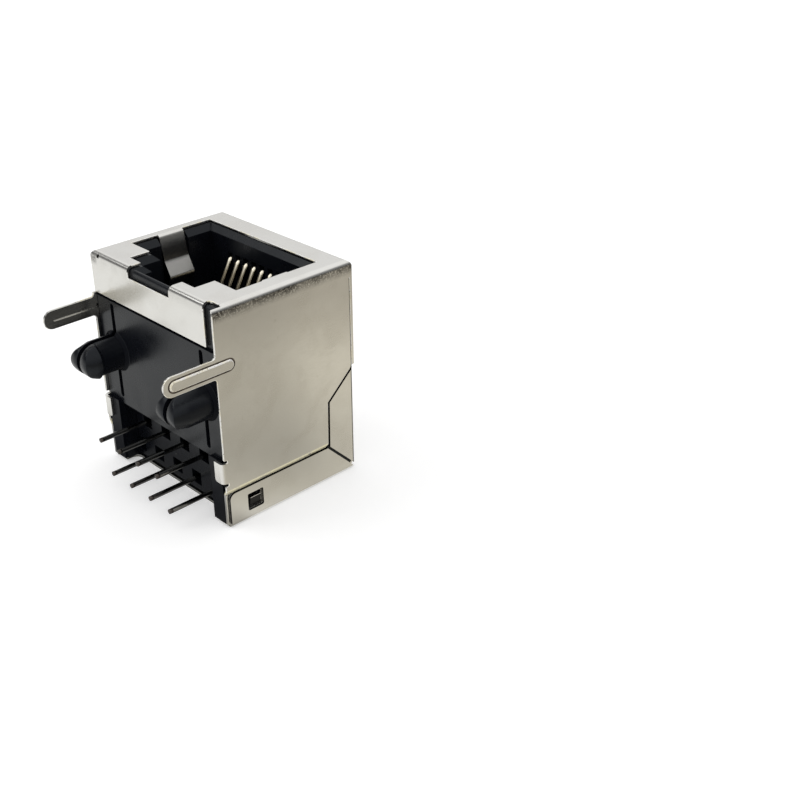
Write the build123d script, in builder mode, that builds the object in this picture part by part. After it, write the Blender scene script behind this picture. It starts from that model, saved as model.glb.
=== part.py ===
from build123d import *
from math import atan2, tan
import os

os.makedirs("parts", exist_ok=True)

# RJ45 board jack with a folded metal shield, standing on its rear panel with the port mouth upwards.
# Origin: on the housing's underside, midway between the two locating pegs.
# +Z runs out of the port mouth, -Y towards the circuit board and X across. Sizes are in millimetres.

# Outside of the shield
body_width = 15.8
body_height = 12.75
body_depth = 18.15
sheet = 0.2
fold_radius = 0.45
shell_gap = 0.05

# Board pattern
pin_pitch = 1.27
pin_rows_apart = 2.54
rear_row_from_back = 1.4
pegs_ahead_of_pins = 6.35
peg_from_side = 2.185
tabs_ahead_of_pegs = 3.3
contact_count = 8

# Port
port_x = -0.3
plug_room_width = 11.9
plug_room_low = 3.55
plug_room_high = 10.2
latch_room_width = 6.9
latch_room_low = 1.75
latch_slot_width = 3.9
latch_slot_low = 0.95
latch_room_depth = 9.0
mouth_chamfer = 0.45
port_floor_from_back = 6.3
frame_strip = 0.95
frame_margin_y = 0.5

# Contacts
wire_diameter = 0.48
wire_clearance = 0.04
contact_pitch = 1.016
contact_run_y = 10.95
pin_length = 3.28
pin_bend_radius = 0.6
fan_start_from_back = 5.9
fan_end_from_back = 8.9
fan_bend_radius = 4.0
spring_corner_from_front = 1.16
spring_bend_radius = 0.45
spring_tip_y = 5.37
spring_tip_from_floor = 0.63
spring_clearance = 0.26
slot_clearance = 0.07
wire_sides = 8

# Housing underside
recess_depth = 1.18
recess_from_back = 5.6
groove_width = 0.45
groove_depth = 0.4
groove_start_from_back = 6.2
groove_end_from_flap = 0.45
rail_height = 0.28
rail_start_from_back = 0.35
rail_past_recess = 0.2
peg_radius = 1.45
peg_root_flare = 0.25
peg_shank_length = 2.1
peg_shoulder_length = 2.3
peg_snap_radius = 1.6
peg_length = 3.5
peg_end_radius = 1.1

# Contact carrier
carrier_half_width = 6.0
carrier_gap = 0.05
hole_size = 1.15
hole_depth = 1.2
comb_low = 4.4
comb_high = 8.2
comb_depth = 1.3

# Shield details
flap_from_tab = 0.41
flap_gap_width = 1.3
flap_gap_top_y = 0.75
flap_notch_depth = 0.95
flap_hole_radius = 0.16
flap_hole_from_side = 1.0
relief_radius = 0.4
wall_edge_y = -0.25
tab_width = 1.5
tab_length = 4.75
rib_width = 0.62
rib_height = 0.13
rib_end_y = 1.15
rib_tip_inset = 0.6
tab_root_radius = 0.3
clip_from_back = 4.05
clip_width = 1.7
clip_reach = 1.0
clip_drop = 0.5
clip_notch = 0.3
clip_radius = 0.25
wing_height = 2.95
wing_corner_radius = 0.5
joggle_height = 0.35
tongue_from_back = 0.3
tongue_clearance = 0.02
seam_width = 0.22
ear_low_y = 9.9
ear_slant = 0.1
ear_shoulder_from_back = 7.0
ear_front_from_back = 9.45
top_seam = 0.13
top_seam_from_front = 1.3
window_size = 1.5
window_low_y = 1.6
window_from_back = 0.85
window_radius = 0.15
barb_width = 1.0
barb_length = 1.0
barb_clearance = 0.1
rear_cut_from_side = 1.6
rear_cut_height = 1.05
rear_cut_radius = 0.6
leaf_low_y = 5.5
leaf_width = 2.3
leaf_hook = 0.23
leaf_knee = 0.65
leaf_knee_from_front = 2.1
leaf_crest = 1.35
leaf_crest_from_front = 3.35
leaf_tip = 0.85
leaf_tip_from_front = 4.45
leaf_hook_radius = 0.2
leaf_knee_radius = 0.5
leaf_crest_radius = 0.3
leaf_room = 0.15
leaf_slot_from_front = 4.95

# Places worked out from the sizes above
rear_z = -(rear_row_from_back + pin_rows_apart + pegs_ahead_of_pins)
front_z = rear_z + body_depth
half_width = body_width / 2
wire_radius = wire_diameter / 2
peg_x = half_width - peg_from_side
tab_z = tabs_ahead_of_pegs
inner_half = half_width - sheet - shell_gap
housing_back = rear_z + sheet + shell_gap
housing_front = front_z - sheet - shell_gap
housing_top = body_height - sheet - shell_gap
recess_z = rear_z + recess_from_back
port_floor = rear_z + port_floor_from_back
frame_margin_x = half_width - abs(port_x) - plug_room_width / 2 - frame_strip
run_low = contact_run_y - wire_radius - wire_clearance
run_high = contact_run_y + wire_radius + wire_clearance + slot_clearance
slot_width = wire_diameter + 2 * slot_clearance
tongue_outer = half_width - sheet - tongue_clearance
tongue_inner = tongue_outer - sheet
flap_end_z = tab_z + tab_width / 2 + flap_from_tab
flap_right_x = half_width - sheet - flap_gap_width
wing_top_z = rear_z + wing_height
joggle_top_z = wing_top_z + joggle_height
spring_corner_z = front_z - spring_corner_from_front
spring_tip_z = port_floor + spring_tip_from_floor
spring_slope = atan2(contact_run_y - spring_tip_y, spring_corner_z - spring_tip_z)
spring_crest_z = spring_corner_z - spring_bend_radius / tan(spring_slope / 2) + spring_bend_radius
slot_front_z = spring_crest_z + wire_radius + spring_clearance


def pin_x(index):
    """Place across of a solder pin."""
    return (index - (contact_count - 1) / 2) * pin_pitch


def pin_z(index):
    """Even pins stand in the row nearer the port, odd pins in the row nearer the back."""
    rear_row = rear_z + rear_row_from_back
    return rear_row + pin_rows_apart if index % 2 == 0 else rear_row


def spring_x(index):
    """Place across of a contact's spring in the port."""
    return port_x + (index - (contact_count - 1) / 2) * contact_pitch


def port_outline(margin_x, margin_y):
    """Keyed outline of the port, grown by a margin at its sides and at its top and bottom."""
    steps = [
        (plug_room_width, plug_room_low, plug_room_high + 2 * margin_y),
        (latch_room_width, latch_room_low, plug_room_low),
        (latch_slot_width, latch_slot_low, latch_room_low),
    ]
    for width, low, high in steps:
        with Locations((port_x, (low + high) / 2 - margin_y)):
            Rectangle(width + 2 * margin_x, high - low)


def peg_outline(*shank):
    """Half section of a peg's lobe: flared root, the shank's own points and a slight taper to the end."""
    root_outside = peg_radius + peg_root_flare
    Polyline(
        (-peg_length, 0),
        (groove_depth, 0),
        (groove_depth, root_outside),
        (0, root_outside),
        (-peg_root_flare, peg_radius),
        *shank,
        (-peg_length, peg_end_radius),
        close=True,
    )


# Front moulding: the keyed port, the spring slots, the underside with its grooves, rails and pegs
with BuildPart() as housing:
    with BuildSketch(Plane.XY.offset(housing_back)):
        with Locations((0, housing_top / 2)):
            Rectangle(2 * inner_half, housing_top)
    extrude(amount=housing_front - housing_back)
    uprights = housing.edges().filter_by(Axis.Y)
    top_rim = housing.faces().sort_by(Axis.Y)[-1].edges()
    chamfer(uprights + top_rim, fold_radius - sheet)

    # Port cavity with its bevelled mouth
    with BuildSketch(Plane.XY.offset(housing_front)):
        port_outline(0, 0)
    extrude(amount=-latch_room_depth, mode=Mode.SUBTRACT)
    mouth = housing.faces().sort_by(Axis.Z)[-1].inner_wires()[0]
    side_wall = inner_half - abs(port_x) - plug_room_width / 2
    chamfer(mouth.edges(), min(mouth_chamfer, side_wall / 3))
    with BuildSketch(Plane.XY.offset(housing_front)):
        with Locations((port_x, (plug_room_low + plug_room_high) / 2)):
            Rectangle(plug_room_width, plug_room_high - plug_room_low)
    extrude(amount=port_floor - housing_front, mode=Mode.SUBTRACT)

    # Comb that keeps the free ends of the springs apart
    with BuildSketch(Plane.XY.offset(port_floor)):
        with Locations((port_x, (comb_low + comb_high) / 2)):
            Rectangle(contact_count * contact_pitch + slot_width, comb_high - comb_low)
            with GridLocations(contact_pitch, 0, contact_count, 1):
                Rectangle(slot_width, comb_high - comb_low, mode=Mode.SUBTRACT)
    extrude(amount=comb_depth)

    # Slots in the port's ceiling, and the fan-shaped room behind them, for the contacts
    with BuildSketch(Plane.XY.offset(slot_front_z)):
        slot_low = plug_room_high - mouth_chamfer
        with Locations((port_x, (slot_low + run_high) / 2)):
            with GridLocations(contact_pitch, 0, contact_count, 1):
                Rectangle(slot_width, run_high - slot_low)
    extrude(amount=rear_z + fan_end_from_back - slot_front_z, mode=Mode.SUBTRACT)
    with BuildSketch(Plane.XZ.offset(-run_high)):
        with BuildLine():
            Polyline(
                (pin_x(0) - slot_width, recess_z),
                (pin_x(contact_count - 1) + slot_width, recess_z),
                (pin_x(contact_count - 1) + slot_width, rear_z + fan_start_from_back + wire_diameter),
                (spring_x(contact_count - 1) + slot_width, rear_z + fan_end_from_back + wire_diameter),
                (spring_x(0) - slot_width, rear_z + fan_end_from_back + wire_diameter),
                (pin_x(0) - slot_width, rear_z + fan_start_from_back + wire_diameter),
                close=True,
            )
        make_face()
    extrude(amount=run_high - run_low, mode=Mode.SUBTRACT)

    # Pocket for the contact carrier, open to the back and to the board
    with BuildSketch(Plane.XY.offset(recess_z)):
        pocket_half = carrier_half_width + carrier_gap
        Rectangle(2 * pocket_half, 2 * run_high)
    extrude(amount=-recess_from_back, mode=Mode.SUBTRACT)

    # Step for the shield's flap across the mouth end of the underside
    step_depth = sheet + shell_gap
    with BuildSketch(Plane.XY.offset(flap_end_z - step_depth)):
        Rectangle(4 * half_width, 2 * step_depth)
    extrude(amount=front_z - flap_end_z + step_depth, mode=Mode.SUBTRACT)

    corner = fold_radius - sheet
    with BuildSketch(Plane.YZ.offset(-half_width)):
        with Locations((step_depth, housing_front)):
            Rectangle(2 * corner, 2 * corner)
        with Locations((step_depth + corner, housing_front - corner)):
            Circle(corner, mode=Mode.SUBTRACT)
    extrude(amount=body_width, mode=Mode.SUBTRACT)

    # Long grooves that pass through the split pegs
    groove_start_z = rear_z + groove_start_from_back
    groove_end_z = flap_end_z - groove_end_from_flap
    with BuildSketch(Plane.XZ):
        with Locations((0, (groove_start_z + groove_end_z) / 2)):
            with GridLocations(2 * peg_x, 0, 2, 1):
                SlotOverall(groove_end_z - groove_start_z, groove_width, rotation=90)
    extrude(amount=-groove_depth, mode=Mode.SUBTRACT)

    # Side rails beside the carrier, and the rebates for the shield's tongues
    rail_start_z = rear_z + rail_start_from_back
    rail_end_z = recess_z + rail_past_recess
    rail_width = tongue_inner - shell_gap - pocket_half
    with BuildSketch(Plane.XZ):
        with Locations((0, (rail_start_z + rail_end_z) / 2)):
            with GridLocations(2 * pocket_half + rail_width, 0, 2, 1):
                Rectangle(rail_width, rail_end_z - rail_start_z)
    extrude(amount=rail_height)
    rebate = inner_half - tongue_inner + shell_gap
    for side in (-1, 1):
        with BuildSketch(Plane.XY.offset(housing_back)):
            with Locations((side * (inner_half - rebate / 2), ear_low_y / 2)):
                Rectangle(rebate, ear_low_y)
        extrude(amount=rail_end_z - housing_back, mode=Mode.SUBTRACT)

    # Slots in the port's side walls where the ground leaves bend in
    leaf_slot_depth = frame_margin_x + sheet
    for side in (-1, 1):
        slot_middle_x = port_x + side * (plug_room_width / 2 + leaf_slot_depth / 2)
        with BuildSketch(Plane.XY.offset(housing_front)):
            with Locations((slot_middle_x, leaf_low_y + leaf_width / 2)):
                Rectangle(leaf_slot_depth, leaf_width + 2 * leaf_room)
        extrude(amount=front_z - leaf_slot_from_front - housing_front, mode=Mode.SUBTRACT)

    # Two locating pegs, each split lengthwise into a plain outer lobe and an inner one with a snap shoulder
    shank_end = (-peg_shank_length, peg_radius)
    snap_shoulder = (-peg_shoulder_length, peg_snap_radius)
    for side in (-1, 1):
        for shank, turn in (((shank_end,), side), ((shank_end, snap_shoulder), -side)):
            with BuildSketch(Plane.YZ.offset(side * peg_x)):
                with BuildLine():
                    peg_outline(*shank)
                make_face()
            revolve(axis=Axis((side * peg_x, 0, 0), (0, turn, 0)), revolution_arc=180)
        with BuildSketch(Plane.XZ.offset(-groove_depth)):
            with Locations((side * peg_x, 0)):
                Rectangle(groove_width, 3 * peg_radius)
        extrude(amount=groove_depth + peg_length, mode=Mode.SUBTRACT)

        # Each lobe ends in a half-round outline, seen from the jack's side
        tip_radius = peg_length - peg_shank_length
        with BuildSketch(Plane.YZ.offset(side * peg_x)):
            with Locations((-peg_shank_length - tip_radius / 2, 0)):
                Rectangle(tip_radius, 4 * peg_radius)
            with Locations((-peg_shank_length, 0)):
                Circle(tip_radius, mode=Mode.SUBTRACT)
        extrude(amount=2 * peg_radius, both=True, mode=Mode.SUBTRACT)

housing.part.label = "housing"
export_step(housing.part, "parts/housing.step")


# Rear moulding that holds the contacts: a block with two rows of square pin holes and a grooved top
carrier_back = rail_start_z
carrier_front = recess_z - carrier_gap
carrier_top = run_high - carrier_gap
channel = wire_diameter + 2 * wire_clearance
with BuildPart() as contact_carrier:
    with BuildSketch(Plane.XZ.offset(-recess_depth)):
        with Locations((0, (carrier_back + carrier_front) / 2)):
            Rectangle(2 * carrier_half_width, carrier_front - carrier_back)
    extrude(amount=recess_depth - carrier_top)

    # Ten square mouths: each row has one more than it has pins, at opposite ends
    for row_z, shift in ((pin_z(0), pin_pitch / 2), (pin_z(1), -pin_pitch / 2)):
        with BuildSketch(Plane.XZ.offset(-recess_depth)):
            with Locations((shift, row_z)):
                with GridLocations(2 * pin_pitch, 0, contact_count // 2 + 1, 1):
                    Rectangle(hole_size, hole_size)
        extrude(amount=-hole_depth, mode=Mode.SUBTRACT)

    # A channel for each pin, and the groove that leads its contact forward over the top
    for index in range(contact_count):
        with BuildSketch(Plane.XZ.offset(-recess_depth)):
            with Locations((pin_x(index), pin_z(index))):
                Rectangle(channel, channel)
        extrude(amount=recess_depth - carrier_top, mode=Mode.SUBTRACT)
        groove_back = pin_z(index) - channel / 2
        with BuildSketch(Plane.XZ.offset(-carrier_top)):
            with Locations((pin_x(index), (groove_back + carrier_front) / 2)):
                Rectangle(channel, carrier_front - groove_back)
        extrude(amount=carrier_top - run_low, mode=Mode.SUBTRACT)
        bend_front = pin_z(index) + pin_bend_radius
        with BuildSketch(Plane.YZ.offset(pin_x(index) - channel / 2)):
            with BuildLine():
                Polyline(
                    (run_low + wire_radius, bend_front),
                    (run_low, bend_front),
                    (run_low - pin_bend_radius, pin_z(index)),
                    (run_low + wire_radius, pin_z(index)),
                    close=True,
                )
            make_face()
        extrude(amount=channel, mode=Mode.SUBTRACT)

contact_carrier.part.label = "contact_carrier"
export_step(contact_carrier.part, "parts/contact_carrier.step")


# Eight wire contacts, drawn with flats: solder pin, rise through the carrier, fan to the port's pitch, spring
for index in range(contact_count):
    with BuildPart() as contact:
        with BuildLine():
            route = FilletPolyline(
                (pin_x(index), -pin_length, pin_z(index)),
                (pin_x(index), contact_run_y, pin_z(index)),
                (pin_x(index), contact_run_y, rear_z + fan_start_from_back),
                (spring_x(index), contact_run_y, rear_z + fan_end_from_back),
                (spring_x(index), contact_run_y, spring_corner_z),
                (spring_x(index), spring_tip_y, spring_tip_z),
                radius=[pin_bend_radius, fan_bend_radius, fan_bend_radius, spring_bend_radius],
            )
        with BuildSketch(Plane(origin=route @ 0, z_dir=route % 0)):
            RegularPolygon(wire_radius, wire_sides)
        sweep(path=route)
        chamfer(contact.faces().sort_by(Axis.Y)[0].edges(), wire_diameter / 6)
    contact.part.label = f"contact_{index + 1}"
    export_step(contact.part, f"parts/contact_{index + 1}.step")


def folded_block(inset, low_y):
    """Box with the sheet's rounded folds; inset is the distance in from the outside."""
    fold = fold_radius - inset
    top_y = body_height - inset
    side_x = half_width - inset
    with BuildPart() as block:
        with BuildSketch(Plane.XY.offset(rear_z + inset)):
            with Locations((0, (low_y + top_y) / 2)):
                Rectangle(2 * side_x, top_y - low_y)
        extrude(amount=body_depth - 2 * inset)
        uprights = block.edges().filter_by(Axis.Y)
        across = block.edges().filter_by(Axis.X).group_by(Axis.Y)[-1]
        fillet(uprights + across, fold)
        for side in (-1, 1):
            with BuildSketch(Plane.XY.offset(rear_z)):
                with Locations((side * side_x, top_y)):
                    Rectangle(2 * fold, 2 * fold)
                with Locations((side * (side_x - fold), top_y - fold)):
                    Circle(fold, mode=Mode.SUBTRACT)
            extrude(amount=ear_front_from_back, mode=Mode.SUBTRACT)
    return block.part


outer_block = folded_block(0, wall_edge_y)
inner_block = folded_block(sheet, wall_edge_y - body_height)

# Flap of the shield, folded from its front panel down over the housing's underside
flap_room = sheet + shell_gap
flap_root_y = fold_radius + sheet
with BuildPart() as flap:
    with BuildSketch(Plane.YZ.offset(-half_width)):
        with BuildLine():
            flap_line = FilletPolyline(
                (flap_root_y, front_z - sheet / 2),
                (sheet / 2, front_z - sheet / 2),
                (sheet / 2, flap_end_z),
                radius=fold_radius - sheet / 2,
            )
        trace(flap_line, line_width=sheet)
    extrude(amount=flap_right_x + half_width)
    with BuildSketch(Plane.XZ):
        with Locations((0, (front_z + rear_z) / 2)):
            RectangleRounded(body_width, body_depth, fold_radius)
    extrude(amount=-flap_root_y, mode=Mode.INTERSECT)

# Shield: one sheet folded round the housing, with its seams, windows, tabs, clips and ground leaves
with BuildPart() as shield:
    add(outer_block)
    add(inner_block, mode=Mode.SUBTRACT)

    # Board-side edges of the panels, of the wings and of the wall beside the flap
    panel_half = half_width - sheet
    with BuildSketch(Plane.XZ):
        Rectangle(2 * panel_half, 3 * body_depth)
        with Locations((0, wing_top_z - body_depth / 2)):
            Rectangle(2 * body_width, body_depth)
    extrude(amount=sheet - wall_edge_y, mode=Mode.SUBTRACT)
    with BuildSketch(Plane.XZ.offset(-flap_room)):
        with Locations((-half_width, flap_end_z - shell_gap + body_depth / 2)):
            Rectangle(half_width, body_depth)
    extrude(amount=body_height, mode=Mode.SUBTRACT)
    with BuildSketch(Plane.XY.offset(rear_z)):
        RectangleRounded(2 * (half_width - rear_cut_from_side), 2 * rear_cut_height, rear_cut_radius)
    extrude(amount=sheet, mode=Mode.SUBTRACT)

    # Front panel: the keyed opening, then the flap with its notch and the gap beside it
    with BuildSketch(Plane.XY.offset(front_z)):
        port_outline(frame_margin_x, frame_margin_y)
        Rectangle(2 * panel_half, 2 * flap_root_y)
        with Locations((flap_right_x + flap_gap_width / 2, 0)):
            RectangleRounded(flap_gap_width, 2 * flap_gap_top_y, relief_radius)
    extrude(amount=-sheet, mode=Mode.SUBTRACT)
    add(flap)
    with BuildSketch(Plane.XY.offset(front_z)):
        with Locations((port_x, 0)):
            Rectangle(latch_slot_width + 2 * frame_margin_x, 2 * latch_room_low)
    extrude(amount=-flap_notch_depth, mode=Mode.SUBTRACT)
    with BuildSketch(Plane.XZ):
        with Locations((flap_hole_from_side - half_width, front_z - fold_radius + flap_hole_radius)):
            Circle(flap_hole_radius)
    extrude(amount=-flap_root_y, mode=Mode.SUBTRACT)

    for side in (-1, 1):
        outside = Plane.YZ.offset(side * half_width)
        inward = -side * sheet

        # Seam round the ear that comes down from the top panel, and the slit in front of it
        with BuildSketch(outside):
            with BuildLine():
                seam_line = Polyline(
                    (body_height, rear_z + ear_front_from_back),
                    (ear_low_y + ear_slant, rear_z + ear_shoulder_from_back),
                    (ear_low_y, wing_top_z),
                    (body_height, wing_top_z - body_height + ear_low_y),
                )
            trace(seam_line, line_width=seam_width)
        extrude(amount=-side * fold_radius, mode=Mode.SUBTRACT)
        slit_back = rear_z + ear_front_from_back
        slit_front = front_z - top_seam_from_front
        with BuildSketch(outside):
            with Locations((body_height - sheet - top_seam / 2, (slit_back + slit_front) / 2)):
                SlotOverall(slit_front - slit_back, top_seam, rotation=90)
        extrude(amount=inward, mode=Mode.SUBTRACT)

        # Wing from the rear panel, with a square window, over a tongue joggled in from the wall
        with BuildSketch(outside):
            with Locations(((ear_low_y + wall_edge_y) / 2, (wing_top_z + joggle_top_z) / 2)):
                Rectangle(ear_low_y - wall_edge_y, joggle_height)
        extrude(amount=inward, mode=Mode.SUBTRACT)
        with BuildSketch(outside):
            with Locations((window_low_y + window_size / 2, rear_z + window_from_back + window_size / 2)):
                RectangleRounded(window_size, window_size, window_radius)
        extrude(amount=inward, mode=Mode.SUBTRACT)
        wing_corner = shield.edges().filter_by(Axis.X).sort_by_distance((side * half_width, 0, wing_top_z))[0]
        fillet(wing_corner, wing_corner_radius)
        tongue_middle = side * (tongue_outer + tongue_inner) / 2
        wall_middle = side * (half_width - sheet / 2)
        with BuildSketch(Plane.XZ.offset(-wall_edge_y)):
            with BuildLine():
                joggle_line = Polyline(
                    (wall_middle, joggle_top_z + sheet),
                    (wall_middle, joggle_top_z),
                    (tongue_middle, wing_top_z),
                    (tongue_middle, rear_z + tongue_from_back),
                )
            trace(joggle_line, line_width=sheet)
        extrude(amount=wall_edge_y - ear_low_y + seam_width)

        # Barb cut from the tongue and bent out into the window
        barb_middle_y = window_low_y + window_size / 2
        barb_root_z = rear_z + window_from_back + barb_clearance
        barb_cut_width = barb_width + 2 * barb_clearance
        barb_cut_length = barb_length + 2 * barb_clearance
        with BuildSketch(Plane.YZ.offset(tongue_middle)):
            with Locations((barb_middle_y, barb_root_z + barb_cut_length / 2)):
                RectangleRounded(barb_cut_width, barb_cut_length, barb_clearance)
        extrude(amount=sheet, both=True, mode=Mode.SUBTRACT)
        with BuildSketch(Plane.XZ.offset(-barb_middle_y)):
            with BuildLine():
                barb_line = Line((tongue_middle, barb_root_z), (wall_middle, barb_root_z + barb_length))
            trace(barb_line, line_width=sheet)
        extrude(amount=barb_width / 2, both=True)

        # Clip bent in under the housing, with a relief notch at each end
        clip_back = rear_z + clip_from_back
        with BuildSketch(outside):
            with Locations((wall_edge_y, clip_back + clip_width / 2)):
                RectangleRounded(2 * clip_notch, clip_width + 2 * clip_notch, clip_notch / 2)
        extrude(amount=inward, mode=Mode.SUBTRACT)
        with BuildSketch(Plane.XY.offset(clip_back)):
            with BuildLine():
                clip_line = FilletPolyline(
                    (wall_middle, clip_notch),
                    (wall_middle, sheet / 2 - clip_drop),
                    (side * (half_width - clip_reach), sheet / 2 - clip_drop),
                    radius=clip_radius,
                )
            trace(clip_line, line_width=sheet)
        extrude(amount=clip_width)
        clip_corner = (side * (half_width - clip_reach), sheet / 2 - clip_drop, clip_back)
        fillet(shield.edges().filter_by(Axis.Y).sort_by_distance(clip_corner)[0], clip_radius)

        # Board tab with a round tip and a pressed rib
        with BuildSketch(outside):
            with Locations(((tab_width / 2 - tab_length) / 2, tab_z)):
                SlotOverall(tab_length + tab_width / 2, tab_width)
        extrude(amount=inward)
        near_edge = shield.edges().filter_by(Axis.X).sort_by_distance((side * half_width, wall_edge_y, tab_z))
        fillet(near_edge[:2], tab_root_radius)
        rib_low_y = rib_tip_inset - tab_length
        rib_length = rib_end_y - rib_low_y
        rib_middle = ((rib_low_y + rib_end_y) / 2, tab_z)
        with BuildSketch(outside):
            with Locations(rib_middle):
                SlotOverall(rib_length, rib_width)
        extrude(amount=side * rib_height)
        with BuildSketch(Plane.YZ.offset(side * (half_width - sheet))):
            with Locations(rib_middle):
                SlotOverall(rib_length - 2 * rib_height, rib_width - 2 * rib_height)
        extrude(amount=side * rib_height, mode=Mode.SUBTRACT)

        # Ground leaf folded back into the port to press on the plug's side
        edge = plug_room_width / 2 + frame_margin_x
        with BuildSketch(Plane.XZ.offset(-leaf_low_y)):
            with BuildLine():
                leaf_line = FilletPolyline(
                    (port_x + side * (edge + sheet), front_z - sheet / 2),
                    (port_x + side * (edge - leaf_hook), front_z - sheet / 2),
                    (port_x + side * (edge - leaf_knee), front_z - leaf_knee_from_front),
                    (port_x + side * (edge - leaf_crest), front_z - leaf_crest_from_front),
                    (port_x + side * (edge - leaf_tip), front_z - leaf_tip_from_front),
                    radius=[leaf_hook_radius, leaf_knee_radius, leaf_crest_radius],
                )
            trace(leaf_line, line_width=sheet)
        extrude(amount=-leaf_width)

shield.part.label = "shield"
export_step(shield.part, "parts/shield.step")
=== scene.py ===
# %% [markdown]
# # A shielded network jack on a white table
#
# The object is a small connector, under two centimetres tall, that is soldered to a circuit board.
# A folded sheet of nickel-plated metal wraps a glossy black moulding. Eight sprung wires run from
# solder pins on the board's side to the port, which here points upwards because the jack stands on
# its rear panel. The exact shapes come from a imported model. This lesson gives them their finishes,
# their slightly rounded edges, a table, light and a camera.

import math

import bmesh
import bpy
from mathutils import Matrix, Vector


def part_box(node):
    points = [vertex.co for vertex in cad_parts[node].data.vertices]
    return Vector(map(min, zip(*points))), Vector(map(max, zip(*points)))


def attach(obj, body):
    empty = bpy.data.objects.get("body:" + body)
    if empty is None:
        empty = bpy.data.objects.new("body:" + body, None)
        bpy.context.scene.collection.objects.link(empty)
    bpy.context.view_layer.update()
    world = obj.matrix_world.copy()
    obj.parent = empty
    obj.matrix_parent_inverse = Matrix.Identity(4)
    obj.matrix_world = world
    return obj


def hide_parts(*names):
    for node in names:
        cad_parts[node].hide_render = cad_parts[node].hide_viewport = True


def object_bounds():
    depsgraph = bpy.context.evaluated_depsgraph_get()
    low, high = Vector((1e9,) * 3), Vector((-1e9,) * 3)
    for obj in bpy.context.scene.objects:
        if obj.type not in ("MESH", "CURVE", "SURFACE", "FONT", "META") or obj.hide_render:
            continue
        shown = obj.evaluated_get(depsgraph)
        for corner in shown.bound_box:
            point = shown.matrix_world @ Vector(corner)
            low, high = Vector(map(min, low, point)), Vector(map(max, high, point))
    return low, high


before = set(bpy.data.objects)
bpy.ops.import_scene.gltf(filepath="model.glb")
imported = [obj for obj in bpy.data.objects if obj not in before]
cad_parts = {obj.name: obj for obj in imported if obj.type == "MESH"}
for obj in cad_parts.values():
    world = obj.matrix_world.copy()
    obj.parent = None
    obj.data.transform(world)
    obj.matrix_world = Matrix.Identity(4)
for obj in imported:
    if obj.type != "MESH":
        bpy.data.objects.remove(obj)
cad_low, cad_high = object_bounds()
print("pieces:", sorted(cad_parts))

# %% [markdown]
# ## Landmarks
#
# Blender works in metres and this object in millimetres, so one value turns one into the other.
# The origin lies on the board side of the black moulding, between its two pegs: the board would be
# towards -Y, and +Z points out of the port. Heights are counted from the model's own boxes, so a
# finish stays where it belongs if the model gets taller. A few faces of the sheet have no box of
# their own and are named here. The side walls stand side_x off the middle. A wing folds up over
# each from the rear panel and ends at wing_top, and an ear folds over it from the panel opposite
# the board and starts at ear_y.

# %% Read the landmarks
MM = 0.001

wire_names = sorted(
    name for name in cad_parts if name.startswith("contact_") and name != "contact_carrier"
)
pin_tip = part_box(wire_names[0])[0].y / MM
rear = cad_low.z / MM
front = cad_high.z / MM
sheet = 0.2
side_x = 7.9
ear_y = 9.9
wing_top = rear + 2.95
print("stands", round(front - rear, 2), "mm high, pins end at y", round(pin_tip, 2), "mm")

# %% [markdown]
# ## Helpers that build a finish
#
# A finish is a small graph of nodes. Writing each node and link by hand hides the idea behind the
# plumbing, so a few helpers do it: one starts a material and hands back its shader, one adds a
# node, sets its numbers and joins its inputs, and two give places on the object in millimetres. An
# input may be a number, a colour or another node's output.


# %% Start a finish, add a node, measure a place
def new_finish(name):
    """An empty material: gives the material, its nodes and its main shader."""
    material = bpy.data.materials.new(name)
    material.use_nodes = True
    shader = material.node_tree.nodes["Principled BSDF"]
    return material, material.node_tree, shader


def add_node(tree, kind, settings=None, **inputs):
    """Adds one node. settings are its own options, inputs its sockets by name or by number (i0, i1)."""
    node = tree.nodes.new(kind)
    for option, value in (settings or {}).items():
        setattr(node, option, value)
    for key, value in inputs.items():
        by_number = key[0] == "i" and key[1:].isdigit()
        socket = node.inputs[int(key[1:])] if by_number else node.inputs[key.replace("_", " ")]
        if isinstance(value, bpy.types.NodeSocket):
            tree.links.new(value, socket)
        else:
            socket.default_value = value
    return node


def millimetres(tree, stretch=(1, 1, 1)):
    """Places measured in millimetres in the object's own frame, squeezed where stretch is under 1."""
    place = add_node(tree, "ShaderNodeTexCoord").outputs["Object"]
    scale = tuple(s / MM for s in stretch)
    return add_node(tree, "ShaderNodeMapping", Vector=place, Scale=scale).outputs["Vector"]


def where(tree, place):
    """How far a place lies off the middle, up from the board's side (Y) and towards the port (Z)."""
    axes = add_node(tree, "ShaderNodeSeparateXYZ", i0=place).outputs
    off_middle = add_node(tree, "ShaderNodeMath", {"operation": "ABSOLUTE"}, i0=axes["X"])
    return off_middle.outputs["Value"], axes["Y"], axes["Z"]


print("helpers for nodes ready")

# %% [markdown]
# ## Sums for finishes
#
# The rest of a finish is a few sums. Most of them work on shares between 0 and 1, which say how much
# of something, such as dirt, there is at a point. A soft band gives a share along one axis, a
# product keeps what several shares have in common, and a blend turns a share into a colour.


# %% Noise, ramps, bands and blends
def noise(tree, place, scale, detail=2.0, roughness=0.5, distortion=0.0):
    """A soft random pattern; scale is how many blobs there are to a millimetre."""
    numbers = {"Scale": scale, "Detail": detail, "Roughness": roughness, "Distortion": distortion}
    return add_node(tree, "ShaderNodeTexNoise", Vector=place, **numbers).outputs["Fac"]


def ramp(tree, value, low, high, start=0.0, end=1.0):
    """Turns low to high of a value into start to end, and holds it there outside."""
    made = add_node(
        tree,
        "ShaderNodeMapRange",
        {"clamp": True, "interpolation_type": "SMOOTHSTEP"},
        Value=value,
        From_Min=low,
        From_Max=high,
        To_Min=start,
        To_Max=end,
    )
    return made.outputs["Result"]


def maths(tree, operation, first, second=0.0):
    """One sum on two values."""
    return add_node(tree, "ShaderNodeMath", {"operation": operation}, i0=first, i1=second).outputs["Value"]


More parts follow.
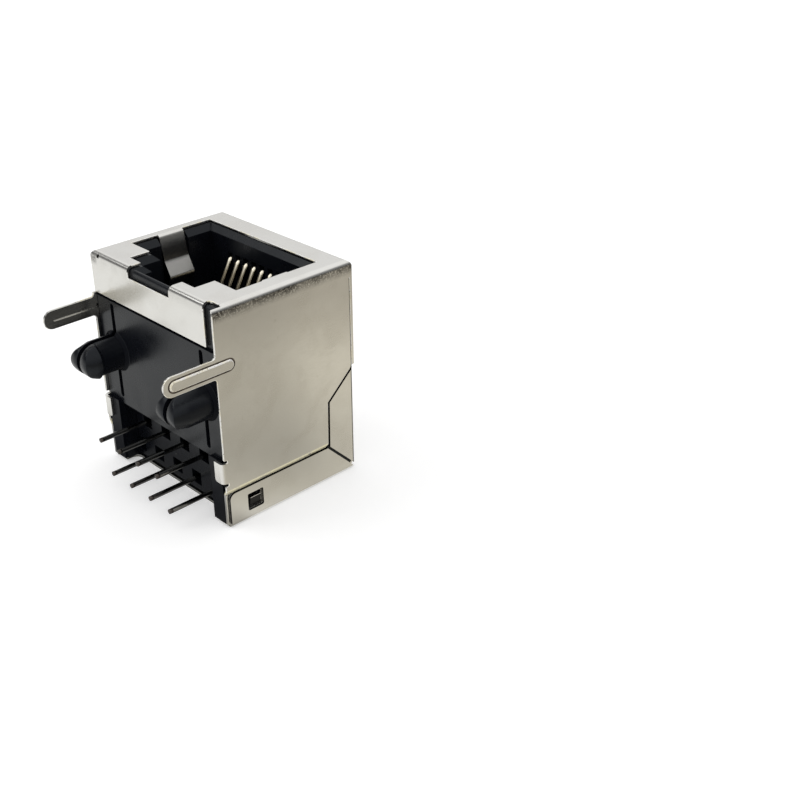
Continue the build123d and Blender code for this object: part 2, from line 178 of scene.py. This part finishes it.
def product(tree, first, *others):
    """Several values multiplied together."""
    for other in others:
        first = maths(tree, "MULTIPLY", first, other)
    return first


def band(tree, value, start, full_from, full_to, end):
    """0 outside start to end, 1 from full_from to full_to, and soft between."""
    return product(tree, ramp(tree, value, start, full_from), ramp(tree, value, full_to, end, 1.0, 0.0))


def blend(tree, share, first, second):
    """Mixes two colours; a share of 0 gives the first and 1 the second."""
    made = add_node(tree, "ShaderNodeMix", {"data_type": "RGBA"}, i0=share, i6=first, i7=second)
    return made.outputs[2]


print("helpers for sums ready")

# %% [markdown]
# ## Marks on the sheet, with painted highlight and shade
#
# Bending crazes the plating into a row of dark specks along a fold. A step pressed into a wall gets
# a painted highlight, pale yellow, on its bend. The gaps of the cuts get painted shade, nearly black,
# and so does the hollow of each ground leaf in the port. These marks lie at known places, so each is
# made from bands along the axes and broken up with noise. That needs no painted picture and no
# unwrapped mesh, and a mark moves with the size that it is counted from.

# %% Work out where the marks are
leaf_low_y = 5.5
leaf_high_y = 7.8


def crazed_fold(tree, place):
    """Specks just below the fold round the port, patchy, and few of them away from the side walls."""
    off_middle, _, height = where(tree, place)
    near_fold = band(tree, height, front - 1.25, front - 0.42, front - 0.34, front - 0.22)
    patchy = ramp(tree, noise(tree, place, 0.7, 1.0), 0.35, 0.60, 0.65, 1.0)
    specks = ramp(tree, noise(tree, place, 7.0, 3.0, 0.9), 0.36, 0.52)
    on_side = ramp(tree, off_middle, side_x - 1.0, side_x - 0.5, 0.12, 1.0)
    return product(tree, near_fold, patchy, specks, on_side)


def joggle_highlight(tree, place):
    """Painted highlight, pale yellow, on the bend where a side wall steps inwards, just above its wing."""
    off_middle, off_board, height = where(tree, place)
    at_step = band(tree, height, wing_top + 0.05, wing_top + 0.09, wing_top + 0.43, wing_top + 0.50)
    on_side = ramp(tree, off_middle, side_x - 0.5, side_x - 0.4)
    below_ear = ramp(tree, off_board, ear_y - 0.1, ear_y - 0.2)
    patchy = ramp(tree, noise(tree, place, 1.6, 3.0, 0.7), 0.30, 0.50, 0.35, 1.0)
    return product(tree, at_step, on_side, below_ear, patchy)


def leaf_hollow_shade(tree, place):
    """Painted shade in the hollow of the leaves that are folded back into the port."""
    off_middle, off_board, height = where(tree, place)
    on_leaf = band(tree, off_board, leaf_low_y - 0.5, leaf_low_y - 0.2, leaf_high_y + 0.2, leaf_high_y + 0.5)
    in_port = ramp(tree, off_middle, side_x - 0.4, side_x - 0.5)
    hollow = band(tree, height, front - 2.35, front - 1.9, front - 1.3, front - 0.2)
    return product(tree, on_leaf, in_port, hollow)


def cut_shade(tree, place):
    """Painted shade, near black, inside the cuts round the wings and their windows, and beside the ears."""
    off_middle, off_board, height = where(tree, place)
    inner = side_x - sheet
    shade_round_wing = product(
        tree,
        band(tree, off_middle, inner + 0.005, inner + 0.015, side_x - 0.02, side_x - 0.006),
        band(tree, height, rear + 0.3, rear + 0.4, wing_top + 0.01, wing_top + 0.03),
    )
    shade_by_ear = product(
        tree,
        ramp(tree, off_middle, side_x - 0.006, side_x - 0.02),
        band(tree, off_board, 8.0, 8.2, 12.5, 12.6),
        band(tree, height, rear + 0.3, rear + 0.4, front - 2.2, front - 2.0),
    )
    return maths(tree, "MAXIMUM", shade_round_wing, shade_by_ear)


print("marks lie between", round(rear, 2), "and", round(front, 2), "mm")

# %% [markdown]
# ## The plated sheet
#
# The shield is thin steel strip, rolled, plated with nickel and then folded in a press. Nickel is a
# slightly warm grey mirror, blurred by the fine grain of the rolls. A plain metal with one roughness
# looks like plastic film, so four things break it up: a faint grain along the strip, larger smudges
# from handling that change the colour a little and the blur more, a few dull spots, and a very
# slight buckling of the panels. The press's marks, the painted highlight and shade, and a painted
# contact shadow along the foot, where the sheet meets the table, are laid over them one after another.


# %% Finish of the plated sheet
def plated_sheet():
    """Nickel plate with rolling grain, smudges, slight buckles, the marks of the press, painted highlight and
    shade.
    """
    material, tree, shader = new_finish("plated_sheet")
    place = millimetres(tree)
    rolled = millimetres(tree, (1.0, 0.10, 1.0))
    smudge = ramp(tree, noise(tree, place, 0.30, 4.0, 0.6, 0.5), 0.38, 0.70)
    grain = noise(tree, rolled, 10.0, 3.0, 0.7)
    spots = ramp(tree, noise(tree, place, 2.2, 2.0, 0.6), 0.70, 0.80)
    crazed = crazed_fold(tree, place)
    step_highlight = joggle_highlight(tree, place)
    # Painted contact shadow along the bottom, where the sheet meets the table.
    contact_shadow = ramp(tree, where(tree, place)[2], rear + 0.16, rear + 0.05)

    tone = blend(tree, smudge, (0.70, 0.692, 0.665, 1), (0.66, 0.648, 0.615, 1))
    # Layers: dull spots, specks, painted shade in the cuts and the leaves' hollow, painted contact shadow,
    # painted highlight on the step.
    layers = [
        (spots, 0.22, (0.46, 0.43, 0.37, 1)),
        (crazed, 0.96, (0.035, 0.03, 0.025, 1)),
        (cut_shade(tree, place), 1.0, (0.012, 0.012, 0.012, 1)),
        (leaf_hollow_shade(tree, place), 0.75, (0.06, 0.06, 0.065, 1)),
        (contact_shadow, 0.8, (0.14, 0.14, 0.10, 1)),
        (step_highlight, 1.0, (0.86, 0.80, 0.56, 1)),
    ]
    for share, strength, colour in layers:
        tone = blend(tree, product(tree, share, strength), tone, colour)
    tree.links.new(tone, shader.inputs["Base Color"])
    # The painted highlight on the step is made nearly non-metallic, so it shows bright from every side.
    tree.links.new(ramp(tree, step_highlight, 0.0, 1.0, 1.0, 0.15), shader.inputs["Metallic"])

    blur = ramp(tree, grain, 0.3, 0.7, 0.18, 0.25)
    tree.links.new(maths(tree, "ADD", blur, product(tree, smudge, 0.04)), shader.inputs["Roughness"])

    buckle = product(tree, noise(tree, place, 0.16, 1.0, 0.4), 60.0)
    relief = maths(tree, "ADD", buckle, maths(tree, "SUBTRACT", grain, crazed))
    bump = add_node(tree, "ShaderNodeBump", Strength=0.5, Distance=0.0006 * MM, Height=relief)
    tree.links.new(bump.outputs["Normal"], shader.inputs["Normal"])
    return material


sheet_finish = plated_sheet()
print("finish:", sheet_finish.name)

# %% [markdown]
# ## Painted highlight on the rims of the sheet
#
# Where the press has cut or bent the sheet, its rim is painted brighter than its faces, a painted
# highlight with a pale yellow cast in places and small dark nicks. The finish is only half metallic,
# so its pale colour shows from most directions. It goes on the fine bead that the cut edges get
# further down, and on the shoulders of the tabs' ribs.


# %% Finish of the rims
def highlight_rim():
    """Painted highlight: pale, half metallic metal, yellow in places, with dark nicks."""
    material, tree, shader = new_finish("highlight_rim")
    place = millimetres(tree)
    cast = ramp(tree, noise(tree, place, 0.9, 3.0, 0.6), 0.45, 0.65)
    nicks = ramp(tree, noise(tree, place, 4.5, 2.0, 0.7), 0.60, 0.68)
    tone = blend(tree, cast, (0.96, 0.95, 0.92, 1), (0.95, 0.89, 0.70, 1))
    tone = blend(tree, product(tree, nicks, 0.7), tone, (0.20, 0.17, 0.13, 1))
    tree.links.new(tone, shader.inputs["Base Color"])
    tree.links.new(ramp(tree, nicks, 0.0, 1.0, 0.30, 0.55), shader.inputs["Roughness"])
    shader.inputs["Metallic"].default_value = 0.5
    return material


highlight_rim_finish = highlight_rim()
print("finish:", highlight_rim_finish.name)

# %% [markdown]
# ## The black moulding
#
# The housing and the carrier behind it are injection-moulded plastic, black with a cold tint. It is
# only fairly smooth, so it mirrors the pegs and the table as soft shapes. The surface gets the
# slight waviness of a moulded face, a very fine grain, and the few dust specks that such a plastic
# always carries. The small flare at the root of each peg is matt, as a mould's sharp inner corner
# leaves it.

# %% Finish of the black moulding
flare_height = 0.30


def black_plastic():
    """Cold black moulded plastic with grain, a slight waviness and dust."""
    material, tree, shader = new_finish("black_plastic")
    place = millimetres(tree)

    cloud = noise(tree, place, 0.5, 3.0, 0.55)
    grain = noise(tree, place, 20.0, 2.0, 0.6)
    cells = add_node(tree, "ShaderNodeTexVoronoi", {"feature": "F1"}, Vector=place, Scale=1.4).outputs
    near = ramp(tree, cells["Distance"], 0.085, 0.03)
    chance = add_node(tree, "ShaderNodeSeparateColor", i0=cells["Color"]).outputs[0]
    dust = product(tree, near, ramp(tree, chance, 0.93, 0.96))

    tone = blend(tree, cloud, (0.0035, 0.0042, 0.0065, 1), (0.0060, 0.0068, 0.0095, 1))
    tone = blend(tree, dust, tone, (0.45, 0.45, 0.43, 1))
    tree.links.new(tone, shader.inputs["Base Color"])

    blur = ramp(tree, cloud, 0.3, 0.7, 0.24, 0.32)
    tree.links.new(maths(tree, "ADD", blur, product(tree, dust, 0.5)), shader.inputs["Roughness"])
    shader.inputs["IOR"].default_value = 1.45
    at_root = band(tree, where(tree, place)[1], -flare_height, -flare_height + 0.03, -0.03, -0.01)
    tree.links.new(ramp(tree, at_root, 0.0, 1.0, 0.27, 0.05), shader.inputs["Specular IOR Level"])
    shader.inputs["Specular Tint"].default_value = (0.90, 0.96, 1.0, 1)

    relief = maths(tree, "ADD", product(tree, grain, 0.4), product(tree, cloud, 3.0))
    bump = add_node(tree, "ShaderNodeBump", Strength=0.35, Distance=0.004 * MM, Height=relief)
    tree.links.new(bump.outputs["Normal"], shader.inputs["Normal"])
    return material


plastic_finish = black_plastic()
print("finish:", plastic_finish.name)

# %% [markdown]
# ## The contact wires' finish
#
# Each contact is one round phosphor-bronze wire. Its solder end is tinned and dulled by air. Its
# spring is plated a pale gold as far as a plug touches it. Deeper in the port it turns brown, partly
# bare metal below the plating and partly painted shade, and the tapered tip is tarnished. The same
# material serves all eight wires, because the colour can be chosen by where a point lies.


# %% Finish of the contact wires
def plated_wire():
    """Tinned at the pins, pale gold in the port with painted shade deeper in, dark where the wire was cut."""
    material, tree, shader = new_finish("plated_wire")
    place = millimetres(tree)
    drawn = millimetres(tree, (1.0, 0.15, 0.4))
    _, off_board, height = where(tree, place)

    in_port = ramp(tree, height, -2.0, 1.0)
    # Brown deeper in the port: partly bare metal below the plating, partly painted shade.
    gilt_above_shade = ramp(tree, height, front - 3.5, front - 2.2)
    at_tip = ramp(tree, off_board, pin_tip + 0.36, pin_tip + 0.28)
    patches = noise(tree, drawn, 2.5, 3.0, 0.6)
    tinned = blend(tree, patches, (0.36, 0.355, 0.34, 1), (0.24, 0.235, 0.22, 1))
    gilt = blend(tree, patches, (0.88, 0.83, 0.70, 1), (0.76, 0.70, 0.55, 1))
    gilt = blend(tree, gilt_above_shade, (0.28, 0.24, 0.17, 1), gilt)
    tone = blend(tree, in_port, tinned, gilt)
    tone = blend(tree, product(tree, at_tip, 0.9), tone, (0.035, 0.028, 0.024, 1))
    tree.links.new(tone, shader.inputs["Base Color"])
    tree.links.new(ramp(tree, patches, 0.3, 0.7, 0.10, 0.20), shader.inputs["Roughness"])
    shader.inputs["Metallic"].default_value = 1.0
    bump = add_node(tree, "ShaderNodeBump", Strength=0.2, Distance=0.003 * MM, Height=patches)
    tree.links.new(bump.outputs["Normal"], shader.inputs["Normal"])
    return material


wire_finish = plated_wire()
print("finish:", wire_finish.name)

# %% [markdown]
# ## Dress the sheet and the mouldings
#
# The model's shapes are the real ones, so each keeps its mesh. The moulding's edges are perfectly
# sharp, though, and no moulded edge is: a real one has a rim of a few hundredths of a millimetre
# that catches the light as a thin line. Three modifiers make it. The first joins the triangles that
# touch, the second merges those that lie in one plane, and the third rounds what is still a sharp
# corner. The sheet is so thin that its cut edges are better made apart, in a later step.

# %% Put each finish on its piece and round the edges
weld_gap = 0.0004
flat_angle = math.radians(0.5)
sharp_angle = math.radians(32)
moulded_rim = 0.03


def dress(name, finish, rim_width=None):
    """Gives one piece of the model its finish and, where a width is given, finely rounded edges."""
    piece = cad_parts[name]
    piece.data.materials.clear()
    piece.data.materials.append(finish)
    if not rim_width:
        print(name, "wears", finish.name)
        return
    joined = piece.modifiers.new("joined", "WELD")
    joined.merge_threshold = weld_gap * MM
    merged = piece.modifiers.new("merged", "DECIMATE")
    merged.decimate_type = "DISSOLVE"
    merged.angle_limit = flat_angle
    rounded = piece.modifiers.new("rounded", "BEVEL")
    rounded.width = rim_width * MM
    rounded.segments = 2
    rounded.limit_method = "ANGLE"
    rounded.angle_limit = sharp_angle
    rounded.use_clamp_overlap = True
    rounded.harden_normals = True
    print(name, "wears", finish.name, "with a rim of", rim_width, "mm")


dress("shield", sheet_finish)
dress("housing", plastic_finish, moulded_rim)
dress("contact_carrier", plastic_finish, moulded_rim)

# %% [markdown]
# ## The burr along the cut edges
#
# A press shears sheet metal and pushes up a tiny burr along the cut. With the painted highlight of
# its finish, it draws the white line round the port, the tabs and the seams. The cut edges can be
# found in the model itself: they are the square corners of its outer faces. The search works on a
# copy of the mesh, with the triangles of each face joined, so the model is left as it is.

# %% Find the cut edges
burr_radius = 0.05
least_face = 2.0
face_slack = 0.05


def is_outer(face):
    """True for a large flat face on the outside of the shield."""
    middle = face.calc_center_median() / MM
    if face.calc_area() / MM**2 < least_face:
        return False
    if abs(face.normal.x) > 0.99:
        on_wall = middle.z > wing_top and middle.y < ear_y
        return abs(middle.x) > side_x - face_slack and on_wall
    if face.normal.z > 0.99:
        return middle.z > front - face_slack
    return face.normal.y < -0.99 and abs(middle.y) < face_slack


def is_square(edge):
    """True where an outside corner joins two faces at about a right angle."""
    if len(edge.link_faces) != 2 or not edge.is_convex:
        return False
    first, second = edge.link_faces
    return abs(first.normal.dot(second.normal)) <= 0.3


def held_between(point, low, high):
    """The nearest point to a given one inside a box."""
    return Vector(min(max(value, least), most) for value, least, most in zip(point, low, high))


def cut_edges():
    """Ends of each square outer corner of the shield, drawn in by the bead's radius, in metres."""
    shape = bmesh.new()
    shape.from_mesh(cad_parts["shield"].data)
    bmesh.ops.remove_doubles(shape, verts=shape.verts, dist=weld_gap * MM)
    bmesh.ops.dissolve_limit(shape, angle_limit=flat_angle, verts=shape.verts, edges=shape.edges)
    shape.normal_update()
    room = Vector((1, 1, 1)) * burr_radius * MM
    found = []
    for edge in shape.edges:
        outer = [face for face in edge.link_faces if is_outer(face)]
        if is_square(edge) and len(outer) == 1:
            inward = outer[0].normal * burr_radius * MM
            ends = [corner.co - inward for corner in edge.verts]
            found.append([held_between(end, cad_low + room, cad_high - room) for end in ends])
    shape.free()
    return found


edges = cut_edges()
print("cut edges:", len(edges))

# %% [markdown]
# A hair-thin round bead along each edge, held inside the outer face, gives the burr without changing
# any outside size. One curve with a round section holds them all, so it needs no faces drawn by hand.

# %% Lay a bead along the cut edges
beads = bpy.data.curves.new("burr", "CURVE")
beads.dimensions = "3D"
beads.bevel_depth = burr_radius * MM
beads.bevel_resolution = 2
for ends in edges:
    line = beads.splines.new("POLY")
    line.points.add(1)
    for knot, end in zip(line.points, ends):
        knot.co = (*end, 1)
burr = bpy.data.objects.new("burr", beads)
# The bead wears the rims' painted highlight.
burr.data.materials.append(highlight_rim_finish)
bpy.context.scene.collection.objects.link(burr)
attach(burr, "root")
print("beads of", burr_radius, "mm radius:", len(beads.splines))

# %% [markdown]
# ## Painted shade for a crease
#
# Where two faces of the sheet meet in a fine groove, shade falls, and this finish paints that shade
# in: a rough, half metallic brown, uneven, whose darkness follows a small noise.


# %% Finish of the creases
def crease_shade_finish():
    """Painted shade for a crease, brown and patchy."""
    material, tree, shader = new_finish("crease_shade")
    patches = ramp(tree, noise(tree, millimetres(tree), 3.0, 3.0, 0.7), 0.40, 0.65)
    tone = blend(tree, patches, (0.035, 0.024, 0.017, 1), (0.14, 0.11, 0.085, 1))
    tree.links.new(tone, shader.inputs["Base Color"])
    shader.inputs["Roughness"].default_value = 0.6
    shader.inputs["Metallic"].default_value = 0.5
    return material


crease_shade = crease_shade_finish()
print("finish:", crease_shade.name)

# %% [markdown]
# ## The ribs on the board tabs
#
# Each tab that is soldered into the board is stiffened by a long rib, pressed up from behind. A
# press can't make an upright wall in thin sheet: it leaves a sloping shoulder and a fine crease
# where the slope begins. The model has the rib's flat top at its full height. A loop of sloping
# faces round it makes the shoulder and wears the rims' painted highlight, and a narrow dark loop
# laid just off the tab outside that is painted shade for the crease. Each loop is given by how far
# outside the rib's top it runs and how high it lies.

# %% Make the ribs' shoulders
rib_top_half = 0.31
rib_height = 0.13
rib_slope = 0.10
rib_crease = 0.13
rib_low_y = -4.15
rib_high_y = 1.15
rib_z = 3.3
off_tab = 0.003


def loop_points(side, spread, height, arc_steps=12):
    """Points of a long round-ended loop, spread outside the rib's top and height off the tab."""
    points = []
    reach = rib_top_half + spread
    for end_y, first in ((rib_high_y - rib_top_half, 0.0), (rib_low_y + rib_top_half, math.pi)):
        for step in range(arc_steps + 1):
            angle = first + math.pi * step / arc_steps
            y = end_y + reach * math.sin(angle)
            z = rib_z + reach * math.cos(angle)
            points.append((side * (side_x + height) * MM, y * MM, z * MM))
    return points


def shoulder(name, side, loops, finish):
    """A closed strip of faces from one loop of points to the next."""
    rows = [loop_points(side, spread, height) for spread, height in loops]
    count = len(rows[0])
    faces = []
    for row in range(len(rows) - 1):
        for step in range(count):
            here, above = row * count, (row + 1) * count
            ahead = (step + 1) % count
            face = (here + step, here + ahead, above + ahead, above + step)
            faces.append(face if side > 0 else face[::-1])
    mesh = bpy.data.meshes.new(name)
    mesh.from_pydata([point for row in rows for point in row], [], faces)
    mesh.polygons.foreach_set("use_smooth", [True] * len(faces))
    mesh.materials.append(finish)
    piece = bpy.data.objects.new(name, mesh)
    bpy.context.scene.collection.objects.link(piece)
    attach(piece, "root")


slope_loops = [
    (rib_slope, off_tab),
    (rib_slope * 0.7, rib_height * 0.3),
    (rib_slope * 0.3, rib_height * 0.75),
    (0.0, rib_height),
]
crease_shade_loops = [(rib_slope + rib_crease, off_tab), (rib_slope, off_tab)]
# Each side gets a shoulder with the rims' painted highlight and a crease of painted shade.
for side, end_name in ((-1, "left"), (1, "right")):
    shoulder("rib_slope_" + end_name, side, slope_loops, highlight_rim_finish)
    shoulder("rib_crease_shade_" + end_name, side, crease_shade_loops, crease_shade)
print("ribs from y", rib_low_y, "to", rib_high_y, "mm, height", rib_height, "mm")

# %% [markdown]
# ## Bend a wire round its corners
#
# A bent wire is straight between its bends, and each bend is an arc that meets the straights without
# a kink. The path is worked out from its sharp corners and one radius for each. Shading along a
# curve is smoothed from point to point, so a long straight between two arcs would shade as if it
# were bent too. One more point just inside each of its ends stops that.


# %% Work out a bent path
def rounded_route(corners, radii, steps=10):
    """Points of a path through the corners, with an arc of the given radius at each inner one."""
    points = [corners[0]]
    for before, corner, after, radius in zip(corners, corners[1:], corners[2:], radii):
        back = (before - corner).normalized()
        ahead = (after - corner).normalized()
        half_turn = (math.pi - back.angle(ahead)) / 2
        centre = corner + (back + ahead).normalized() * radius / math.cos(half_turn)
        first = (corner + back * radius * math.tan(half_turn) - centre).normalized()
        last = (corner + ahead * radius * math.tan(half_turn) - centre).normalized()
        for step in range(steps + 1):
            points.append(centre + first.slerp(last, step / steps) * radius)
    points.append(corners[-1])
    return points


def hold_straight(points, guard=0.04):
    """The same path with an extra point just inside both ends of each straight stretch."""
    held = [points[0]]
    for start, end in zip(points, points[1:]):
        stretch = end - start
        if stretch.length > 6 * guard:
            step = stretch.normalized() * guard
            held += [start + step, end - step]
        held.append(end)
    return held


print("helpers for paths ready")

# %% [markdown]
# ## The contact wires
#
# A wire is drawn through a round die, so its highlight is one thin clean line along it. The model
# keeps its wires simple, with flats. For a close look each is made again as a truly round wire on
# the same route: up from the solder pin, over the carrier, closing up from the board's spacing to
# the port's, forward, and folded back into the port as a spring. It is drawn a little thinner than
# the holes it stands in, and its solder end is cut to a point. A curve with a round section is the
# natural tool, because a wire is nothing but a section and a path.

# %% Make the round wires
wire_radius = 0.24
drawn_share = 0.82
point_length = 0.30
point_share = 0.40
pin_pitch = 1.27
spring_pitch = 1.016
port_x = -0.3
run_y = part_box(wire_names[0])[1].y / MM - wire_radius
spring_tip_y = 5.37
spring_tip_z = rear + 6.93
fan_from = rear + 5.9
fan_to = rear + 8.9
fold_z = front - 1.16
bend_radii = [0.6, 4.0, 4.0, 0.45]


def wire_path(name, number):
    """Points of one contact's path, from the tip of its pin to the free end of its spring."""
    steps_off_middle = number - (len(wire_names) - 1) / 2
    pin_x = steps_off_middle * pin_pitch
    spring_x = port_x + steps_off_middle * spring_pitch
    pin_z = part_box(name)[0].z / MM + wire_radius
    corners = [
        Vector((pin_x, pin_tip, pin_z)),
        Vector((pin_x, run_y, pin_z)),
        Vector((pin_x, run_y, fan_from)),
        Vector((spring_x, run_y, fan_to)),
        Vector((spring_x, run_y, fold_z)),
        Vector((spring_x, spring_tip_y, spring_tip_z)),
    ]
    points = rounded_route(corners, bend_radii)
    points.insert(1, points[0] + Vector((0, point_length, 0)))
    return hold_straight(points)


def round_wire(name, number):
    """One contact as a round wire that stands for the model's own."""
    points = wire_path(name, number)
    path = bpy.data.curves.new(name + "_round", "CURVE")
    path.dimensions = "3D"
    path.bevel_depth = wire_radius * MM
    path.bevel_resolution = 6
    path.use_fill_caps = True
    line = path.splines.new("POLY")
    line.points.add(len(points) - 1)
    for knot, point in zip(line.points, points):
        knot.co = (*(point * MM), 1)
        knot.radius = drawn_share
    line.points[0].radius = point_share
    line.use_smooth = True
    wire = bpy.data.objects.new(name + "_round", path)
    wire.data.materials.append(wire_finish)
    bpy.context.scene.collection.objects.link(wire)
    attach(wire, "root")
    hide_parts(name)
    return wire


wires = [round_wire(name, number) for number, name in enumerate(wire_names)]
print("round wires:", len(wires))

# %% [markdown]
# ## The table's finish
#
# The table is white card. It is lit like any card, so it takes the object's shadow, and a little glow
# that only the camera sees lifts it to a clean white. Metal and gloss show the table as much as they
# show themselves, so what they mirror is a painted reflection that glows by itself: bright before
# the jack, where the flap and the black underside look, with a painted shadow at the jack's foot,
# and painted shade, dimmer and warmer, to the right, where the long side wall looks. That difference
# is what tells the eye that they are two faces. The stretches are counted along two directions on
# the table: looking higher up the side wall moves its mirror image of the table rightward, and
# looking along the wall moves it backward.

# %% Finish of the card
straight_share = 0.82
aslant_share = 0.57


def mirrored_rays(tree):
    """1 on rays that a mirror or glass sends on."""
    path = add_node(tree, "ShaderNodeLightPath").outputs
    return maths(tree, "MINIMUM", maths(tree, "ADD", path["Is Glossy Ray"], path["Is Transmission Ray"]), 1.0)


def painted_table_reflection(tree):
    """Painted reflection of the table that metal and gloss show, with painted shadow and shade."""
    axes = add_node(tree, "ShaderNodeSeparateXYZ", i0=millimetres(tree)).outputs
    x, y = axes["X"], axes["Y"]
    rightward = maths(tree, "ADD", product(tree, x, straight_share), product(tree, y, aslant_share))
    backward = maths(tree, "SUBTRACT", product(tree, y, straight_share), product(tree, x, aslant_share))
    # Painted shadow in the reflection, just before the jack's foot.
    foot_shadow = product(tree, band(tree, y, -5.5, -1.5, 1.0, 3.0), band(tree, x, -17.0, -13.0, 8.0, 12.0))
    shown = blend(tree, foot_shadow, (1.06, 1.06, 1.04, 1), (0.22, 0.22, 0.22, 1))
    shown = blend(tree, ramp(tree, rightward, 2.0, 12.0), shown, (0.69, 0.655, 0.565, 1))
    shown = blend(tree, ramp(tree, rightward, 16.0, 32.0), shown, (0.83, 0.78, 0.66, 1))
    shown = blend(tree, ramp(tree, rightward, 34.0, 50.0), shown, (0.54, 0.50, 0.42, 1))
    # A little painted shade in the reflection, where the stretch rightward is long and the one backward
    # short.
    low_left_shade = product(tree, ramp(tree, rightward, 9.0, 18.0), ramp(tree, backward, 5.5, 0.5))
    return blend(tree, product(tree, low_left_shade, 0.28), shown, (0.0, 0.0, 0.0, 1))


def card_finish():
    """White card that keeps its shadows and glows a little to the eye."""
    material, tree, shader = new_finish("card")
    shader.inputs["Base Color"].default_value = (0.86, 0.86, 0.86, 1)
    shader.inputs["Roughness"].default_value = 0.9
    shader.inputs["Specular IOR Level"].default_value = 0.1
    shader.inputs["Emission Color"].default_value = (1, 1, 1, 1)
    seen = add_node(tree, "ShaderNodeLightPath").outputs["Is Camera Ray"]
    tree.links.new(product(tree, seen, 0.35), shader.inputs["Emission Strength"])
    painted_reflection = add_node(tree, "ShaderNodeEmission", Color=painted_table_reflection(tree), Strength=1.0).outputs[0]
    both = add_node(tree, "ShaderNodeMixShader", i0=mirrored_rays(tree), i1=shader.outputs[0], i2=painted_reflection)
    tree.links.new(both.outputs[0], tree.nodes["Material Output"].inputs["Surface"])
    return material


card = card_finish()
print("finish:", card.name)

# %% [markdown]
# ## The table
#
# The table only has to look endless, so one square, much larger than the object, is enough. It lies
# at the height of the model's lowest point, because the jack stands on it.

# %% Lay the table
table_half = 0.6
table_mesh = bpy.data.meshes.new("table")
sides = [(-1, -1), (1, -1), (1, 1), (-1, 1)]
table_mesh.from_pydata([(x * table_half, y * table_half, cad_low.z) for x, y in sides], [], [(0, 1, 2, 3)])
table_mesh.materials.append(card)
table = bpy.data.objects.new("table", table_mesh)
bpy.context.scene.collection.objects.link(table)
print("table", 2 * table_half, "m wide at z", round(rear, 2), "mm")

# %% [markdown]
# ## The tent of light
#
# Product photographs of plated parts are taken in a white tent: metal shows whatever surrounds
# it, so it needs broad pale surfaces and no small lamps. The world is that tent. Two stretches of
# it are darker to mirrors: one low on the right, which draws the dark line under the fold of the
# side wall, and one on the near left, which keeps the port's bevels black. The tent also grows
# brighter upwards, as the roof of one does. To the eye it is plain white.

# %% Put up the tent
tent_level = 0.80
right_darkening = 0.72
left_darkening = 0.85

world = bpy.data.worlds.new("tent")
bpy.context.scene.world = world
world.use_nodes = True
sky = world.node_tree
backdrop = sky.nodes["Background"]
looking = add_node(sky, "ShaderNodeTexCoord").outputs["Generated"]


def beside_patch(toward, inner, outer, darkening):
    """1 in most of the tent, and less by darkening within inner to outer degrees of one direction."""
    aim = tuple(Vector(toward).normalized())
    facing = add_node(sky, "ShaderNodeVectorMath", {"operation": "DOT_PRODUCT"}, i0=looking, i1=aim)
    far, near = math.cos(math.radians(outer)), math.cos(math.radians(inner))
    in_patch = ramp(sky, facing.outputs["Value"], far, near)
    return maths(sky, "SUBTRACT", 1.0, product(sky, in_patch, darkening))


right_patch = beside_patch((0.75, 0.60, 0.10), 18, 42, right_darkening)
left_patch = beside_patch((-0.74, -0.43, 0.52), 15, 36, left_darkening)
upward = add_node(sky, "ShaderNodeSeparateXYZ", i0=looking).outputs["Z"]
to_mirrors = product(sky, right_patch, left_patch, ramp(sky, upward, 0.20, 0.60, 0.79, 1.10))
to_others = product(sky, maths(sky, "SUBTRACT", 1.0, mirrored_rays(sky)), tent_level)
level = maths(sky, "ADD", product(sky, mirrored_rays(sky), to_mirrors), to_others)
seen = add_node(sky, "ShaderNodeLightPath").outputs["Is Camera Ray"]
sky.links.new(maths(sky, "MAXIMUM", level, seen), backdrop.inputs["Strength"])
backdrop.inputs["Color"].default_value = (1, 1, 1, 1)
print("tent at", tent_level)

# %% [markdown]
# ## The lamp
#
# Light from all sides leaves no shadow side. One large soft square lamp high on the left gives the
# shadows a direction, and its size keeps their edges soft.

# %% Hang the lamp
key_data = bpy.data.lights.new("key", "AREA")
key_data.shape = "SQUARE"
key_data.size = 0.30
key_data.energy = 0.45
key = bpy.data.objects.new("key", key_data)
key.location = (-0.25, -0.22, 0.36)
key.rotation_euler = (-Vector(key.location)).to_track_quat("-Z", "Y").to_euler()
bpy.context.scene.collection.objects.link(key)
print("lamp of", key_data.energy, "W")

# %% [markdown]
# ## The camera
#
# The camera's place was worked out from the corners of the object in the reference picture and
# its known sizes. It stands to the right and in front, looks down on the open port, and keeps the
# object left of the middle, as the picture does.

# %% Place the camera
camera_place = Vector((70.38, -43.86, 41.59)) * MM
camera_azimuth = math.radians(45.368)
camera_elevation = math.radians(28.489)
camera_roll = math.radians(-0.198)
picture_px = 800
focal_px = 1200.1
sensor_mm = 36.0

camera_data = bpy.data.cameras.new("camera")
camera_data.sensor_width = sensor_mm
camera_data.lens = focal_px / picture_px * sensor_mm
camera_data.clip_start = 0.005
camera_data.clip_end = 10.0
camera = bpy.data.objects.new("camera", camera_data)
turn = Matrix.Rotation(camera_azimuth, 4, "Z") @ Matrix.Rotation(math.pi / 2 - camera_elevation, 4, "X")
camera.matrix_world = Matrix.Translation(camera_place) @ turn @ Matrix.Rotation(camera_roll, 4, "Z")
bpy.context.scene.collection.objects.link(camera)
bpy.context.scene.camera = camera
bpy.context.scene.view_settings.view_transform = "Standard"
print("lens", round(camera_data.lens, 2), "mm")

# %% [markdown]
# ## The size
#
# The dressed object has to be exactly as large as the model it was built on, so the last line prints
# the model's size.

# %% Print the model's size
print("model", [round(v / MM, 3) for v in cad_high - cad_low])
